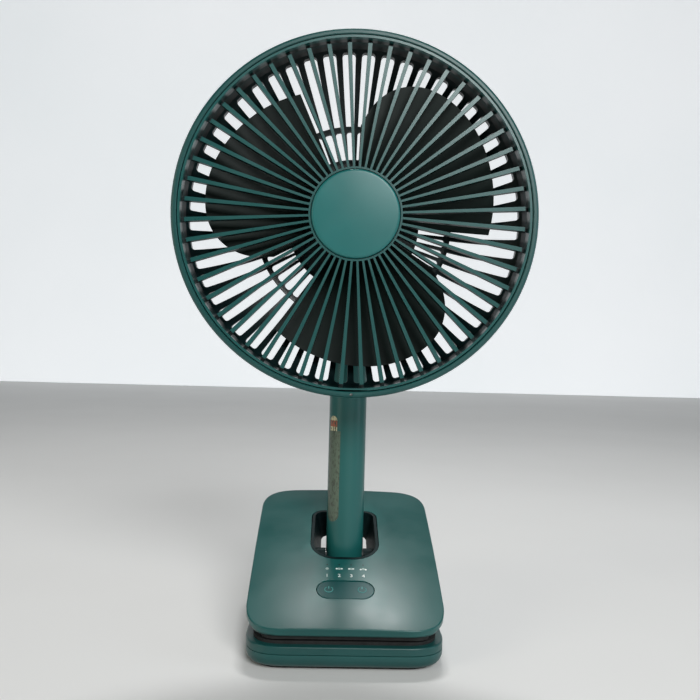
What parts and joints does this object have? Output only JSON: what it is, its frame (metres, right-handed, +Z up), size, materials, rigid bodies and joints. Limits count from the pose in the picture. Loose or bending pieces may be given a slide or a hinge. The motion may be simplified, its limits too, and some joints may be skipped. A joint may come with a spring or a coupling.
{
  "type": "clip-on desk fan",
  "caption": "Small caged fan on a round stem that folds in the upper jaw of a spring clip base, with a control key on the front slope.",
  "frame": {"origin": "centre of the base's footprint, on the underside of the foot pads", "axes": "+Z up along the stem, the fan's face looks along -Y, +X is the fan's own left"},
  "size_m": [0.185, 0.121, 0.3181],
  "materials": {
    "cage_plastic": "satin moulded plastic, deep teal",
    "rib_plastic": "satin moulded plastic, deep teal",
    "body_plastic": "satin moulded plastic, deep teal green",
    "dark_body_plastic": "fine-grained moulded plastic, darker teal",
    "blade_plastic": "satin moulded plastic, near-black green",
    "black_plastic": "plain moulded plastic",
    "plated_steel": "bright zinc plate",
    "brass_parts": "turned brass",
    "copper_wire": "enamelled copper wire",
    "circuit_board": "solder-masked laminate",
    "cell_wrap": "shrink-wrapped cells",
    "clear_lens": "clear light pipe",
    "white_print": "white",
    "label_film": "printed film",
    "soft_rubber": "matt rubber"
  },
  "bodies": {
    "lower_jaw": {"lower_frame": "dark_body_plastic", "lower_base": "dark_body_plastic", "foot_pads": "soft_rubber", "lower_grip_pad": "soft_rubber", "jaw_pin": "plated_steel", "jaw_springs": "plated_steel", "frame_screws": "plated_steel"},
    "upper_jaw": {"upper_cover": "body_plastic", "upper_tray": "dark_body_plastic", "slot_sleeve": "body_plastic", "key_pivot": "black_plastic", "indicator_lenses": "clear_lens", "circuit_board": "circuit_board", "tact_switches": "black_plastic", "status_leds": "white_print", "battery_cells": "cell_wrap", "usb_socket": "plated_steel", "tray_screws": "plated_steel", "upper_grip_pad": "soft_rubber"},
    "key": {"control_key": "body_plastic"},
    "stem": {"stem_tube": "body_plastic", "stem_knuckle": "body_plastic", "fold_pin": "plated_steel", "fold_washers": "black_plastic", "swivel_bush": "black_plastic", "rating_label": "label_film"},
    "neck": {"neck": "body_plastic", "swivel_retainer": "plated_steel", "tilt_washers": "black_plastic"},
    "head": {"rear_grille": "cage_plastic", "front_grille": "rib_plastic", "hub_cap": "body_plastic", "motor_stator": "plated_steel", "motor_windings": "copper_wire", "motor_plate": "plated_steel", "motor_board": "circuit_board", "shaft_bearings": "brass_parts", "motor_screws": "plated_steel", "motor_cover": "cage_plastic", "cover_screws": "plated_steel", "grille_lock_screw": "plated_steel", "tilt_pin": "plated_steel"},
    "fan": {"fan_blades": "blade_plastic", "rotor_can": "plated_steel", "motor_shaft": "plated_steel", "blade_nut": "brass_parts"}
  },
  "joints": [
    {"name": "jaw_open", "type": "hinge", "parent": "lower_jaw", "child": "upper_jaw", "pos_m": [0, 0.005, 0.021], "axis": [-1, 0, 0], "range_deg": [0, 38], "stiffness_Nm_per_rad": 1.15, "springref_deg": -57.3, "deforming": ["jaw_springs"]},
    {"name": "stem_fold", "type": "hinge", "parent": "upper_jaw", "child": "stem", "pos_m": [0, 0.0075, 0.0395], "axis": [1, 0, 0], "range_deg": [-25, 30]},
    {"name": "head_swivel", "type": "hinge", "parent": "stem", "child": "neck", "pos_m": [0, 0.0075, 0.197], "axis": [0, 0, 1], "range_deg": [-170, 170]},
    {"name": "head_tilt", "type": "hinge", "parent": "neck", "child": "head", "pos_m": [0, 0.0075, 0.2256], "axis": [-1, 0, 0], "range_deg": [0, 90]},
    {"name": "fan_spin", "type": "hinge", "parent": "head", "child": "fan", "pos_m": [0, -0.03, 0.2256], "axis": [0, 1, 0], "continuous": true},
    {"name": "key_rock", "type": "hinge", "parent": "upper_jaw", "child": "key", "pos_m": [0, -0.03495, 0.03115], "axis": [0, 0.9367, 0.3502], "range_deg": [-2, 2], "stiffness_Nm_per_rad": 0.5}
  ]
}
